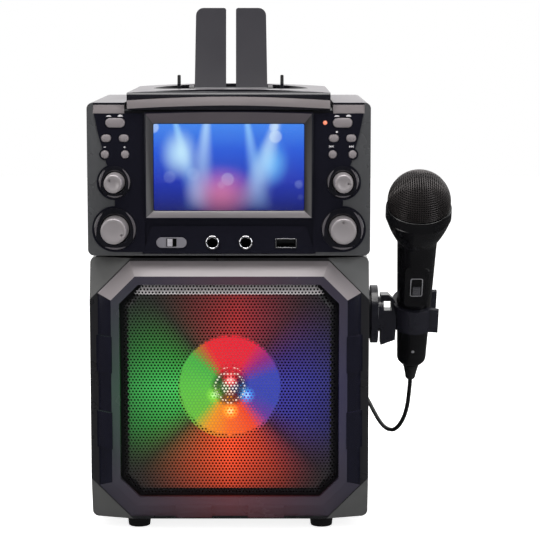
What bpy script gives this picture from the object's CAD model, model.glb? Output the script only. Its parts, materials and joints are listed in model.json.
# Portable karaoke player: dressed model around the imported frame, studio light, photo camera
import bpy, bmesh, json, math
from functools import partial
from mathutils import Matrix, Vector
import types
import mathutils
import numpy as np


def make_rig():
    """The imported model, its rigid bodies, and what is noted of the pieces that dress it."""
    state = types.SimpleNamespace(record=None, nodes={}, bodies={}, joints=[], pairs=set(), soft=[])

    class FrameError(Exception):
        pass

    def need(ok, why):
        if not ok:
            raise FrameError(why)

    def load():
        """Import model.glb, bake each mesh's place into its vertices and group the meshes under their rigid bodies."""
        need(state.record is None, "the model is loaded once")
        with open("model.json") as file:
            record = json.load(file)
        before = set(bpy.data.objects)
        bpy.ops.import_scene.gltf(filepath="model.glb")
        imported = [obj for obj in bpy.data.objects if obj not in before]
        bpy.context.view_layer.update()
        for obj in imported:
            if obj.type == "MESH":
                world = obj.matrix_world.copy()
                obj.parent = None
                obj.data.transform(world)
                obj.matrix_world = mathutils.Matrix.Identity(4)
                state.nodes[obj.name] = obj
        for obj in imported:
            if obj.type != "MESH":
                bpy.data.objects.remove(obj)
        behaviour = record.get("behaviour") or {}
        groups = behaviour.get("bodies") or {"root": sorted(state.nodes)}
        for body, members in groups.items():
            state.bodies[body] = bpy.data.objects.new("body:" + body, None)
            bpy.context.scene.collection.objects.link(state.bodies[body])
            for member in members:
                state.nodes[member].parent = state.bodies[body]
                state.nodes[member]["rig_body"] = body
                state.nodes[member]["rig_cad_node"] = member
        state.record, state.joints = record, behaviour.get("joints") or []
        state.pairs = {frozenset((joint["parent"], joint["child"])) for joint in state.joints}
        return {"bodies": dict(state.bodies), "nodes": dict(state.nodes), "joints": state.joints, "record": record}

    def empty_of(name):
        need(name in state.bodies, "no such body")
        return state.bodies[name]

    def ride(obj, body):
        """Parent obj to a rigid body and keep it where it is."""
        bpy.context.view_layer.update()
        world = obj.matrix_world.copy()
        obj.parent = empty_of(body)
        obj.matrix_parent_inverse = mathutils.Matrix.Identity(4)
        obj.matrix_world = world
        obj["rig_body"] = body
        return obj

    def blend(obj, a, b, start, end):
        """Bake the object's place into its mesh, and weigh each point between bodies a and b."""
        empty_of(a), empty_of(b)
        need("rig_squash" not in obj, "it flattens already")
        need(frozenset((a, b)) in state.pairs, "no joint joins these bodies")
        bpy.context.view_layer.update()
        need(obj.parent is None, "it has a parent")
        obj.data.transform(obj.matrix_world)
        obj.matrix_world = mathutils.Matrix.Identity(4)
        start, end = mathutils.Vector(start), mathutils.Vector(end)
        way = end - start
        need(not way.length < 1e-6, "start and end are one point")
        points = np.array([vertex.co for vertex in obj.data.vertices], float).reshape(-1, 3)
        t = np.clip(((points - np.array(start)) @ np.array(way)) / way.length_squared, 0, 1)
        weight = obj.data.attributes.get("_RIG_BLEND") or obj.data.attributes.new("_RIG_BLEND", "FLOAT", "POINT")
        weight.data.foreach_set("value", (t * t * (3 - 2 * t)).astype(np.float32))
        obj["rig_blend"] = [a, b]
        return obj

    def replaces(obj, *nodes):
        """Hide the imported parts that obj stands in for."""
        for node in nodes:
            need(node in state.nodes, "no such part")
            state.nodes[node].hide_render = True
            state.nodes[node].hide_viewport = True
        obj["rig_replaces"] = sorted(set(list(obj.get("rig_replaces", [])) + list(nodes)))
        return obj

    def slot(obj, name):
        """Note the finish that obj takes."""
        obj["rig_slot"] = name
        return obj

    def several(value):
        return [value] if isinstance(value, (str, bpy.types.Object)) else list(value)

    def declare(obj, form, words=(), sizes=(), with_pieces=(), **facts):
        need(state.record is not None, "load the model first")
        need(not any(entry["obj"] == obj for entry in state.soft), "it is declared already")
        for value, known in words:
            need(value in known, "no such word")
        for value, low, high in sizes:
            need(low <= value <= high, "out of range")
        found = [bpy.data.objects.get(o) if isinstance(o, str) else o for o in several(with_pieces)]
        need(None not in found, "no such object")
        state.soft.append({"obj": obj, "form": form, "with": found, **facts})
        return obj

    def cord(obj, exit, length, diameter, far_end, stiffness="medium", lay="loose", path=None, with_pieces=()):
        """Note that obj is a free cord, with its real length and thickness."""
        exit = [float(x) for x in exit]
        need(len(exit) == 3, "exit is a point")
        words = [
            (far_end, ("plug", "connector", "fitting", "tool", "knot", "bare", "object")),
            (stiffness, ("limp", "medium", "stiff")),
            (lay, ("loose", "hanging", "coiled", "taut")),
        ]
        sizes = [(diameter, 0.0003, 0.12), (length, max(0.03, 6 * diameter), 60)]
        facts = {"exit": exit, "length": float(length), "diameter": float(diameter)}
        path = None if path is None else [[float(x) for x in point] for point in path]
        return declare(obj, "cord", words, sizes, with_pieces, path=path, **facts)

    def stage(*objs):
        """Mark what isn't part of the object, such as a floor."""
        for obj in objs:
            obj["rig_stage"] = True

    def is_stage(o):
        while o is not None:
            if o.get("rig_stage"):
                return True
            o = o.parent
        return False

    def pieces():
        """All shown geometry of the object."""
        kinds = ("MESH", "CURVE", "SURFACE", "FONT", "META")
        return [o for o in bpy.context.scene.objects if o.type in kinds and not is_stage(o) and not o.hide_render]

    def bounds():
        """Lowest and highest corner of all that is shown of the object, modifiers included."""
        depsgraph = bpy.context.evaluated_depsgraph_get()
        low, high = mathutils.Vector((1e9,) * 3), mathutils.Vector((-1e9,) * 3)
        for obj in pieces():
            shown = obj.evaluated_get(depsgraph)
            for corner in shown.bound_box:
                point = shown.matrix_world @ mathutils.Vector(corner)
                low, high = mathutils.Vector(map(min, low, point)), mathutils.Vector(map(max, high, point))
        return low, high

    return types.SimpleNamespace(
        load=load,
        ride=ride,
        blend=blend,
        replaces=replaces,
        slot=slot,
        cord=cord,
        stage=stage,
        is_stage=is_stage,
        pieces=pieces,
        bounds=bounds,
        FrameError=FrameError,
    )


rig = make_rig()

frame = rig.load()
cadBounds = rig.bounds()
nodes = frame["nodes"]
mm = 0.001
scene = bpy.context.scene

# Camera, light and floor
camera = {
    "place": (0.027, -1.375, 0.340),
    "pitchDown": 7.1,
    "focal": 132.5,
    "sensor": 36,
}
studio = {
    "worldLevel": 0.30,        # soft grey that lights the object
    "roomFront": 0.06,
    "roomDepth": (-0.15, 0.65),
    "floorSize": 6.0,
    "floorTone": 0.82,
    "floorGlow": 0.86,
    "floorMirror": 0.07,
}
# name, place, look-at point, width, height, power, colour
softboxes = [
    ("overheadBox", (0.0, -0.25, 1.30), (0.0, 0.0, 0.25), 1.3, 0.9, 24.0, (1, 0.985, 0.97)),
    ("leftBox", (-0.95, -0.95, 0.60), (0.0, 0.0, 0.16), 0.35, 0.9, 3.2, (1, 0.98, 0.96)),
    ("rightBox", (1.0, -0.95, 0.55), (0.05, 0.0, 0.16), 0.35, 0.9, 4.2, (0.97, 0.98, 1)),
]


def added(name, data):
    thing = bpy.data.objects.new(name, data)
    scene.collection.objects.link(thing)
    return thing


def makeCamera():
    data = bpy.data.cameras.new("photoCamera")
    data.lens = camera["focal"]
    data.sensor_width = camera["sensor"]
    data.clip_start = 0.05
    view = added("photoCamera", data)
    view.location = camera["place"]
    view.rotation_euler = (math.radians(90 - camera["pitchDown"]), 0, 0)
    scene.camera = view


# A new node with its settings, and its inputs given as sockets to link or as values
def wired(tree, kind, inputs, **settings):
    node = tree.nodes.new(kind)
    for label, value in settings.items():
        setattr(node, label, value)
    for label, value in inputs.items():
        if isinstance(value, bpy.types.NodeSocket):
            tree.links.new(value, node.inputs[label])
        else:
            node.inputs[label].default_value = value
    return node


def mathNode(tree, operation, first, second=None):
    values = {0: first} if second is None else {0: first, 1: second}
    return wired(tree, "ShaderNodeMath", values, operation=operation).outputs[0]


# The four sums of a tree, under short names
def sums(tree):
    return [partial(mathNode, tree, word) for word in ("ADD", "SUBTRACT", "MULTIPLY", "DIVIDE")]


# A value carried smoothly from one range into another
def ranged(tree, value, start, end, low, high):
    return wired(tree, "ShaderNodeMapRange", {
        "Value": value, "From Min": start, "From Max": end, "To Min": low, "To Max": high,
    }, interpolation_type="SMOOTHSTEP").outputs["Result"]


def lengthTwo(tree, first, second):
    plus, _, times, _ = sums(tree)
    return mathNode(tree, "SQRT", plus(times(first, first), times(second, second)))


def makeWorld():
    scene.world = bpy.data.worlds.new("studioWorld")
    scene.world.use_nodes = True
    tree = scene.world.node_tree
    tree.nodes.clear()
    path = tree.nodes.new("ShaderNodeLightPath").outputs
    seen = mathNode(tree, "MAXIMUM", path["Is Camera Ray"], path["Is Transmission Ray"])
    # mirror rays see white behind and above the object and a dimmer room in front of it
    place = tree.nodes.new("ShaderNodeTexCoord").outputs["Generated"]
    split = wired(tree, "ShaderNodeSeparateXYZ", {0: place})
    room = ranged(tree, split.outputs["Y"], *studio["roomDepth"], studio["roomFront"], 1.0)
    mirrored = mathNode(tree, "MULTIPLY", room, path["Is Glossy Ray"])
    lit, plain = [wired(tree, "ShaderNodeBackground", {"Color": (1, 1, 1, 1), "Strength": level})
                  for level in (studio["worldLevel"], mathNode(tree, "MAXIMUM", seen, mirrored))]
    mix = wired(tree, "ShaderNodeMixShader", {
        0: mathNode(tree, "MAXIMUM", seen, path["Is Glossy Ray"]),
        1: lit.outputs[0], 2: plain.outputs[0]})
    wired(tree, "ShaderNodeOutputWorld", {"Surface": mix.outputs[0]})


def makeFloor():
    half = studio["floorSize"] / 2
    mesh = bpy.data.meshes.new("studioFloor")
    mesh.from_pydata([(-half, -half, 0), (half, -half, 0), (half, half, 0), (-half, half, 0)],
                     [], [(0, 1, 2, 3)])
    floor = added("studioFloor", mesh)
    mat = bpy.data.materials.new("paleFloor")
    mat.use_nodes = True
    tree = mat.node_tree
    tree.nodes.clear()
    path = tree.nodes.new("ShaderNodeLightPath").outputs
    tone = studio["floorTone"]
    soft = wired(tree, "ShaderNodeBsdfDiffuse", {"Color": (tone, tone, tone, 1)}).outputs[0]
    # the camera sees it nearly white, mirror rays see it dark
    glow, dark = [wired(tree, "ShaderNodeEmission", {"Strength": level}).outputs[0]
                  for level in (studio["floorGlow"], studio["floorMirror"])]
    bright = wired(tree, "ShaderNodeAddShader", {0: soft, 1: glow}).outputs[0]
    seen = wired(tree, "ShaderNodeMixShader",
                 {0: path["Is Camera Ray"], 1: soft, 2: bright}).outputs[0]
    mirrored = wired(tree, "ShaderNodeMixShader", {0: path["Is Glossy Ray"], 1: seen, 2: dark})
    wired(tree, "ShaderNodeOutputMaterial", {"Surface": mirrored.outputs[0]})
    mesh.materials.append(mat)
    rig.stage(floor)


def makeLights():
    for name, place, target, width, height, power, colour in softboxes:
        data = bpy.data.lights.new(name, "AREA")
        data.shape = "RECTANGLE"
        data.size, data.size_y = width, height
        data.energy = power
        data.color = colour
        lamp = added(name, data)
        lamp.location = place
        aim = Vector(target) - Vector(place)
        lamp.rotation_euler = aim.to_track_quat("-Z", "Y").to_euler()


makeCamera()
makeWorld()
makeFloor()
makeLights()
scene.view_settings.view_transform = "Standard"
print("stage: camera, world, floor and softboxes")


# Microphone lead: the route's points by hand, then four layers of turns from a formula
lead = {
    "diameter": 3.0,
    "sides": 12,
    "hanging": [(126, 9.1, 91.3), (126, 11.7, 86.4), (125.6, 15.2, 78.4), (124.8, 19.6, 69),
                (123, 25, 60), (120, 31, 52.6), (116.5, 37.2, 48), (113, 44, 46.8)],
    "behind": [(113, 44, 46.8), (110, 51.2, 47.6), (107, 59, 50.4), (103.8, 67.6, 55),
               (100.4, 75.8, 60.8), (95.8, 82.6, 68), (90, 86.6, 76), (84.6, 88, 83),
               (79, 88, 86.4), (73.4, 88, 83.4), (69.6, 88.6, 75), (67.4, 89.6, 62),
               (66, 91, 48), (64.6, 92.6, 34), (63.2, 95, 22.6), (62.2, 99, 14.6),
               (62, 102.2, 12.1), (62, 105, 11.85)],
    "tail": [(36, 127.3, 1.6), (31, 128, 2.4), (26, 128.4, 4), (21.4, 128.5, 5),
             (18, 128.5, 5)],
    "coilCentre": (40, 105),
    "turns": 14.25,
    "layers": 4,
    "step": 3.5,
    "rise": 3.45,
    "outer": 22,
    "ringsPerTurn": 36,
    "inPlug": 9.0,
    "hookEnd": (79, 88, 86.4),     # where the lead stops following the clip
    "lowEnd": (113, 44, 86.4),
}


def smoothPath(points, between):
    out = []
    last = len(points) - 1
    for i in range(last):
        p0, p1 = Vector(points[max(i - 1, 0)]), Vector(points[i])
        p2, p3 = Vector(points[i + 1]), Vector(points[min(i + 2, last)])
        for k in range(between):
            t = k / between
            out.append(0.5 * (2 * p1 + (p2 - p0) * t + (2 * p0 - 5 * p1 + 4 * p2 - p3) * t ** 2
                              + (3 * p1 - p0 - 3 * p2 + p3) * t ** 3))
    out.append(Vector(points[last]))
    return out


def coilPoints():
    perLayer = lead["turns"] / lead["layers"]
    floors = lead["layers"] - 1
    points = []
    for i in range(int(lead["turns"] * lead["ringsPerTurn"]) + 1):
        t = i / lead["ringsPerTurn"]
        layer = min(int(t / perLayer), floors)
        along = t - layer * perLayer
        inward = along if layer % 2 == 0 else perLayer - along
        radius = lead["outer"] - lead["step"] * inward
        edge = round(t / perLayer)
        if edge < 1 or edge > floors:
            level = min(max(edge, 0), floors)
        else:
            level = edge - 0.5 + max(-0.5, min(0.5, (t - edge * perLayer) * 2))
        turn = 2 * math.pi * t
        points.append(Vector((lead["coilCentre"][0] + radius * math.cos(turn),
                              lead["coilCentre"][1] + radius * math.sin(turn),
                              lead["diameter"] / 2 + lead["rise"] * (floors - level))))
    return points


# Quads between each ring of vertices and the next
def bridged(work, pairs):
    for first, second in pairs:
        for k in range(len(first)):
            n = (k + 1) % len(first)
            work.faces.new((first[k], first[n], second[n], second[k]))


# Swept round tube with closed ends, along points in millimetres
def sweptTube(name, points, radius, sides):
    work = bmesh.new()
    rings = []
    side = Vector((0, 0, 1))
    for i, point in enumerate(points):
        ahead = points[min(i + 1, len(points) - 1)] - points[max(i - 1, 0)]
        ahead.normalize()
        side = side - ahead * side.dot(ahead)
        if side.length < 1e-4:
            side = Vector((1, 0, 0)) - ahead * ahead.x
        side.normalize()
        across = ahead.cross(side)
        rings.append([work.verts.new((point + radius * (math.cos(a) * side + math.sin(a) * across))
                                     * mm)
                      for a in (2 * math.pi * k / sides for k in range(sides))])
    bridged(work, zip(rings, rings[1:]))
    work.faces.new(list(reversed(rings[0])))
    work.faces.new(rings[-1])
    return meshPiece(name, work)


# Turns a bmesh into a shaded object with outward faces
def meshPiece(name, work, sharp=35, turnOut=True):
    if turnOut:
        bmesh.ops.recalc_face_normals(work, faces=work.faces)
    mesh = bpy.data.meshes.new(name)
    work.to_mesh(mesh)
    work.free()
    return dressed(name, mesh, sharp)


def dressed(name, mesh, sharp=35):
    mesh.name = name
    mesh.shade_smooth()
    mesh.set_sharp_from_angle(angle=math.radians(sharp))
    return added(name, mesh)


# The mesh of a thing after its modifiers
def plainMesh(thing):
    bpy.context.view_layer.update()
    graph = bpy.context.evaluated_depsgraph_get()
    return bpy.data.meshes.new_from_object(thing.evaluated_get(graph))


def painted(piece, mat):
    piece.data.materials.append(mat)
    return piece


# Finishes a piece: material, body, record slot and the CAD nodes it stands for
def place(piece, mat, body, slot=None, replaced=()):
    if mat is not None:
        piece.data.materials.clear()
        piece.data.materials.append(mat)
    if body:
        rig.ride(piece, body)
    if slot:
        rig.slot(piece, slot)
    if replaced:
        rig.replaces(piece, *replaced)
    return piece


# Solid of revolution: the profile is (radius, height) in mm, from one pole or edge to the other
def spun(name, centre, axis, profile, around=64, sharp=35, closedLoop=False):
    work = bmesh.new()
    up = Vector(axis).normalized()
    side = up.orthogonal().normalized()
    across = up.cross(side)
    base = Vector(centre)
    rings = []
    for radius, height in profile:
        spot = base + up * height
        if radius < 1e-5:
            rings.append([work.verts.new(spot * mm)])
        else:
            rings.append([work.verts.new((spot + radius * (math.cos(a) * side
                                                           + math.sin(a) * across)) * mm)
                          for a in (2 * math.pi * k / around for k in range(around))])
    pairs = list(zip(rings, rings[1:]))
    if closedLoop:
        pairs.append((rings[-1], rings[0]))
    for first, second in pairs:
        for k in range(around):
            n = (k + 1) % around
            corners = [first[k % len(first)], first[n % len(first)],
                       second[n % len(second)], second[k % len(second)]]
            faces = []
            for corner in corners:
                if corner not in faces:
                    faces.append(corner)
            if len(faces) > 2:
                work.faces.new(faces)
    return meshPiece(name, work, sharp)


def arcPoints(x, z, radius, start, end, steps):
    angles = [math.radians(start + (end - start) * k / steps) for k in range(steps + 1)]
    return [(x + radius * math.cos(a), z + radius * math.sin(a)) for a in angles]


def roundedBox(x0, z0, x1, z1, radius, steps=6):
    return (arcPoints(x1 - radius, z0 + radius, radius, -90, 0, steps)
            + arcPoints(x1 - radius, z1 - radius, radius, 0, 90, steps)
            + arcPoints(x0 + radius, z1 - radius, radius, 90, 180, steps)
            + arcPoints(x0 + radius, z0 + radius, radius, 180, 270, steps))


# A rounded box from its centre and half sizes
def boxAt(x, z, halfWide, halfHigh, radius, steps=6):
    return roundedBox(x - halfWide, z - halfHigh, x + halfWide, z + halfHigh, radius, steps)


def pillOutline(x, z, halfLong, halfHigh, grow=0.0, steps=14):
    run = halfLong - halfHigh
    high = halfHigh + grow
    return (arcPoints(x + run, z, high, -90, 90, steps)
            + arcPoints(x - run, z, high, 90, 270, steps))


# A plate along Y from an outline in X and Z with holes; its edges are rounded by 'edge'
def plate(name, outlines, front, back, edge=0.3, steps=2, sharp=40):
    curve = bpy.data.curves.new(name, "CURVE")
    curve.dimensions = "2D"
    curve.fill_mode = "BOTH"
    for outline in outlines:
        spline = curve.splines.new("POLY")
        spline.points.add(len(outline) - 1)
        for point, (x, z) in zip(spline.points, outline):
            point.co = (x * mm, z * mm, 0, 1)
        spline.use_cyclic_u = True
    thick = back - front
    curve.extrude = (thick / 2 - edge) * mm
    curve.bevel_depth = edge * mm
    curve.bevel_resolution = steps
    curve.offset = -edge * mm
    holder = added(name + "Curve", curve)
    mesh = plainMesh(holder)
    bpy.data.objects.remove(holder)
    mesh.transform(Matrix.Translation((0, (front + back) / 2 * mm, 0))
                   @ Matrix.Rotation(math.radians(90), 4, "X"))
    work = bmesh.new()
    work.from_mesh(mesh)
    bmesh.ops.remove_doubles(work, verts=work.verts, dist=1e-6)
    bpy.data.meshes.remove(mesh)
    return meshPiece(name, work, sharp)


# A closed loft through outlines of equal length; each row is (outline, y)
def loft(name, rows, sharp=35, closed=True):
    work = bmesh.new()
    rings = [[work.verts.new((x * mm, y * mm, z * mm)) for x, z in outline]
             for outline, y in rows]
    pairs = list(zip(rings, rings[1:]))
    if closed:
        pairs.append((rings[-1], rings[0]))
    bridged(work, pairs)
    if not closed:
        work.faces.new(list(reversed(rings[0])))
        work.faces.new(rings[-1])
    return meshPiece(name, work, sharp)


# A merged, bevelled copy of a CAD node, for moulded edges that catch the light
def moulded(name, node, width, segments=2, limit=28, sharp=18, flat=0.6):
    work = bmesh.new()
    work.from_mesh(nodes[node].data)
    bmesh.ops.remove_doubles(work, verts=work.verts, dist=2e-6)
    bmesh.ops.dissolve_limit(work, angle_limit=math.radians(flat), verts=work.verts,
                             edges=work.edges)
    piece = meshPiece(name, work, sharp, turnOut=False)
    bevel = piece.modifiers.new("edges", "BEVEL")
    bevel.width = width * mm
    bevel.segments = segments
    bevel.limit_method = "ANGLE"
    bevel.angle_limit = math.radians(limit)
    bevel.use_clamp_overlap = True
    bevel.harden_normals = False
    applyModifiers(piece, sharp)
    return piece


def applyModifiers(piece, sharp=35):
    mesh = plainMesh(piece)
    piece.modifiers.clear()
    old = piece.data
    piece.data = mesh
    bpy.data.meshes.remove(old)
    mesh.name = piece.name
    mesh.shade_smooth()
    mesh.set_sharp_from_angle(angle=math.radians(sharp))


# Joins several finished pieces into one object that keeps their materials
def joined(name, pieces):
    work = bmesh.new()
    mats = []
    for piece in pieces:
        start = len(work.faces)
        work.from_mesh(piece.data)
        work.faces.ensure_lookup_table()
        slots = []
        for mat in piece.data.materials:
            if mat not in mats:
                mats.append(mat)
            slots.append(mats.index(mat))
        for face in work.faces[start:]:
            face.material_index = slots[face.material_index] if slots else 0
        bpy.data.objects.remove(piece)
    mesh = bpy.data.meshes.new(name)
    work.to_mesh(mesh)
    work.free()
    whole = dressed(name, mesh)
    for mat in mats:
        mesh.materials.append(mat)
    return whole


# Shared shader groups

def makeGroup(name, inputs, outputs):
    group = bpy.data.node_groups.new(name, "ShaderNodeTree")
    face = group.interface
    for label, value in inputs.items():
        kind = "Color" if isinstance(value, tuple) else "Float"
        face.new_socket(name=label, in_out="INPUT",
                        socket_type="NodeSocket" + kind).default_value = value
    for label, kind in outputs.items():
        face.new_socket(name=label, in_out="OUTPUT", socket_type="NodeSocket" + kind)
    return group, group.nodes.new("NodeGroupInput").outputs


# A new material with a Principled shader set by labels
def makeMaterial(name, inputs):
    mat = bpy.data.materials.new(name)
    mat.use_nodes = True
    shader = mat.node_tree.nodes["Principled BSDF"]
    for label, value in inputs.items():
        shader.inputs[label].default_value = value
    return mat, mat.node_tree, shader


# Moulded surface: fine grain in the normal, slow drift of tone and gloss
def makeMouldSkin():
    grey = (0.5, 0.5, 0.5, 1)
    group, given = makeGroup("mouldSkin", {
        "Colour": grey, "Worn Colour": grey, "Roughness": 0.4, "Gloss Drift": 0.08,
        "Grain Size": 0.4, "Grain Depth": 0.02,
    }, {"Colour": "Color", "Roughness": "Float", "Normal": "Vector"})
    _, minus, times, over = sums(group)
    where = group.nodes.new("ShaderNodeTexCoord").outputs["Object"]
    grain = wired(group, "ShaderNodeTexNoise", {
        "Vector": where, "Detail": 2, "Scale": over(1000.0, given["Grain Size"])})
    height = times(grain.outputs["Fac"], times(given["Grain Depth"], 0.001))
    bump = wired(group, "ShaderNodeBump", {"Distance": 1.0, "Strength": 1.0, "Height": height})
    drift = wired(group, "ShaderNodeTexNoise", {
        "Vector": where, "Detail": 4, "Scale": 38.0}).outputs["Fac"]
    tone = wired(group, "ShaderNodeMix", {
        "Factor": drift, "A": given["Colour"], "B": given["Worn Colour"]}, data_type="RGBA")
    gloss = wired(group, "ShaderNodeMath", {
        0: minus(drift, 0.5), 1: given["Gloss Drift"], 2: given["Roughness"],
    }, operation="MULTIPLY_ADD")
    wired(group, "NodeGroupOutput", {
        "Colour": tone.outputs["Result"], "Roughness": gloss.outputs[0],
        "Normal": bump.outputs[0]})
    return group


# Light of the four lamps: sectors of colour in the cone, lobes round it, spots at the lamps
lampLight = {
    "axisZ": 96.5, "coneR": 34.0, "ring": 9.0, "hollowR": 12.0, "coreR": 9.8,
    "spots": (0.7, -2.4), "spotRing": 10.8, "spotR": 6.6,
    "colours": [
        ("red", 90, (0.75, 0.012, 0.015)),
        ("green", 180, (0.18, 0.42, 0.02)),
        ("orange", 270, (0.92, 0.36, 0.01)),
        ("blue", 0, (0.02, 0.30, 0.70)),
    ],
    # angle from the right, colour
    "sectors": [(-180, (0.10, 0.52, 0.05)), (-138, (0.13, 0.50, 0.04)),
                (-118, (0.85, 0.30, 0.01)),
                (-90, (0.95, 0.14, 0.01)), (-58, (0.85, 0.05, 0.01)), (-40, (0.12, 0.03, 0.30)),
                (-20, (0.03, 0.05, 0.40)), (18, (0.03, 0.05, 0.42)), (38, (0.25, 0.01, 0.20)),
                (60, (0.75, 0.008, 0.03)), (118, (0.78, 0.01, 0.02)), (131, (0.28, 0.20, 0.02)),
                (140, (0.05, 0.42, 0.05)), (180, (0.10, 0.52, 0.05))],
    "lobes": [(-180, (0.035, 0.44, 0.07)), (-156, (0.02, 0.30, 0.035)),
              (-138, (0.05, 0.05, 0.005)),
              (-118, (0.42, 0.05, 0.004)), (-90, (0.90, 0.06, 0.004)), (-62, (0.50, 0.03, 0.004)),
              (-42, (0.05, 0.003, 0.03)), (-24, (0.02, 0.015, 0.22)), (6, (0.02, 0.02, 0.26)),
              (30, (0.025, 0.006, 0.13)), (50, (0.08, 0.004, 0.02)), (84, (0.36, 0.01, 0.012)),
              (112, (0.15, 0.01, 0.008)), (130, (0.02, 0.02, 0.004)), (152, (0.015, 0.22, 0.02)),
              (180, (0.035, 0.44, 0.07))],
}


def angleRamp(tree, angle, stops):
    ramp = tree.nodes.new("ShaderNodeValToRGB")
    while len(ramp.color_ramp.elements) > 1:
        ramp.color_ramp.elements.remove(ramp.color_ramp.elements[-1])
    for k, (degrees, colour) in enumerate(stops):
        spot = (degrees + 180) / 360
        stop = ramp.color_ramp.elements[0] if k == 0 else ramp.color_ramp.elements.new(spot)
        stop.position, stop.color = spot, (*colour, 1)
    turn = mathNode(tree, "DIVIDE", angle, 2 * math.pi)
    tree.links.new(mathNode(tree, "ADD", turn, 0.5), ramp.inputs["Fac"])
    return ramp.outputs["Color"]


def makeLampGlow():
    group, given = makeGroup("lampGlow", {
        "Cone Level": 1.0, "Lobe Level": 1.0, "Spot Level": 1.0, "Core Level": 1.0,
        "Outer": 90.0, "Rise": 0.0,
    }, {"Colour": "Color"})
    _, minus, times, _ = sums(group)
    where = group.nodes.new("ShaderNodeTexCoord").outputs["Object"]
    split = wired(group, "ShaderNodeSeparateXYZ", {0: where}).outputs
    # millimetres from the woofer's axis
    across = times(split["X"], 1000)
    height = minus(times(split["Z"], 1000), lampLight["axisZ"])
    up = minus(height, given["Rise"])
    angle, radius = mathNode(group, "ARCTAN2", up, across), lengthTwo(group, across, up)
    total = None

    def add(colour, level):
        nonlocal total
        part = wired(group, "ShaderNodeVectorMath", {0: colour, "Scale": level},
                     operation="SCALE").outputs[0]
        total = part if total is None else wired(
            group, "ShaderNodeVectorMath", {0: total, 1: part}, operation="ADD").outputs[0]

    def plain(colour):
        tint = group.nodes.new("ShaderNodeRGB")
        tint.outputs[0].default_value = (*colour, 1)
        return tint.outputs[0]

    edge, core = lampLight["coneR"], lampLight["hollowR"]
    hollow = ranged(group, radius, core - 3, core + 2, 0.18, 1.0)
    inCone = times(ranged(group, radius, edge - 0.5, edge + 0.5, 1.0, 0.0), hollow)
    outside = times(ranged(group, radius, edge - 0.5, edge + 0.5, 0.0, 1.0),
                    ranged(group, radius, edge, given["Outer"], 1.0, 0.0))
    add(angleRamp(group, angle, lampLight["sectors"]), times(inCone, given["Cone Level"]))
    add(angleRamp(group, angle, lampLight["lobes"]), times(outside, given["Lobe Level"]))
    # pale core, and a pale ring round the lamps
    rim = mathNode(group, "ABSOLUTE", minus(radius, lampLight["coreR"]))
    pale = mathNode(group, "MAXIMUM", ranged(group, radius, 4.5, 6.5, 1.0, 0.0),
                    ranged(group, rim, 0.4, 1.2, 0.8, 0.0))
    add(plain((0.9, 0.82, 0.7)), times(pale, given["Core Level"]))
    (spotX, spotZ), reach = lampLight["spots"], lampLight["spotR"]
    for _, degrees, colour in lampLight["colours"]:
        (x, z), = arcPoints(spotX, spotZ, lampLight["spotRing"], degrees, degrees, 1)[:1]
        away = lengthTwo(group, minus(across, x), minus(height, z))
        for far, tone in ((reach, colour), (0.45 * reach, [0.3 * (c + 1) for c in colour])):
            add(plain(tone), times(ranged(group, away, 0.3 * far, far, 1.0, 0.0),
                                   given["Spot Level"]))
    wired(group, "NodeGroupOutput", {"Colour": total})
    return group


mouldSkin = makeMouldSkin()
lampGlow = makeLampGlow()


def linear(rgb):
    return tuple((c / 255 / 12.92) if c / 255 <= 0.04045 else ((c / 255 + 0.055) / 1.055) ** 2.4
                 for c in rgb)


# A plastic, rubber, metal or paint from 0-255 colours, finished by the shared groups
def finish(name, colour, worn, roughness, drift=0.08, grain=0.4, depth=0.01, specular=0.5,
           metallic=0.0, coat=0.0, glow=None):
    mat, tree, shader = makeMaterial(name, {
        "Specular IOR Level": specular, "Metallic": metallic, "Coat Weight": coat,
        "Coat Roughness": 0.06})
    skin = tree.nodes.new("ShaderNodeGroup")
    skin.node_tree = mouldSkin
    for label, value in {
        "Colour": (*linear(colour), 1), "Worn Colour": (*linear(worn), 1),
        "Roughness": roughness, "Gloss Drift": drift, "Grain Size": grain, "Grain Depth": depth,
    }.items():
        skin.inputs[label].default_value = value
    for label, target in (("Colour", "Base Color"), ("Roughness", "Roughness"),
                          ("Normal", "Normal")):
        tree.links.new(skin.outputs[label], shader.inputs[target])
    if glow:
        lit = tree.nodes.new("ShaderNodeGroup")
        lit.node_tree = lampGlow
        for label, value in zip(("Cone Level", "Lobe Level", "Spot Level", "Core Level",
                                 "Outer", "Rise"), glow):
            lit.inputs[label].default_value = value
        tree.links.new(lit.outputs["Colour"], shader.inputs["Emission Color"])
        shader.inputs["Emission Strength"].default_value = 1.0
    return mat


def shining(name, colour, strength, base):
    return makeMaterial(name, {
        "Base Color": (*linear(base), 1), "Emission Color": (*colour, 1),
        "Emission Strength": strength, "Roughness": 0.25})[0]


cabinetBlack = finish("cabinetBlack", (28, 28, 31), (34, 34, 37), 0.28, grain=0.35, depth=0.006)
graphite = finish("cheekGraphite", (66, 67, 69), (72, 73, 75), 0.28, grain=0.3, depth=0.004)
slate = finish("frameSlate", (50, 48, 59), (57, 55, 65), 0.26, grain=0.3, depth=0.004,
               specular=0.35, glow=(0, 0.14, 0, 0, 125, 2.4))
navySide = finish("frameSideNavy", (16, 16, 28), (18, 18, 31), 0.2, grain=0.3, depth=0.003)
fasciaGloss = finish("fasciaGloss", (19, 19, 27), (21, 21, 29), 0.12, drift=0.04, grain=2.5,
                     depth=0.0012, specular=0.18)
gridBlack = finish("grillePaint", (38, 38, 40), (48, 48, 49), 0.4, grain=0.25, depth=0.01,
                   glow=(0.85, 1.25, 0.85, 0, 96, 2.4))
gridEdge = finish("grilleEdge", (22, 22, 24), (27, 27, 29), 0.45, grain=0.25, depth=0.01)
gridPale = finish("grilleTopSlope", (178, 175, 177), (188, 185, 186), 0.42, grain=0.25, depth=0.01)
baffleBlack = finish("baffleBlack", (7, 7, 8), (9, 9, 10), 0.8)
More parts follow.
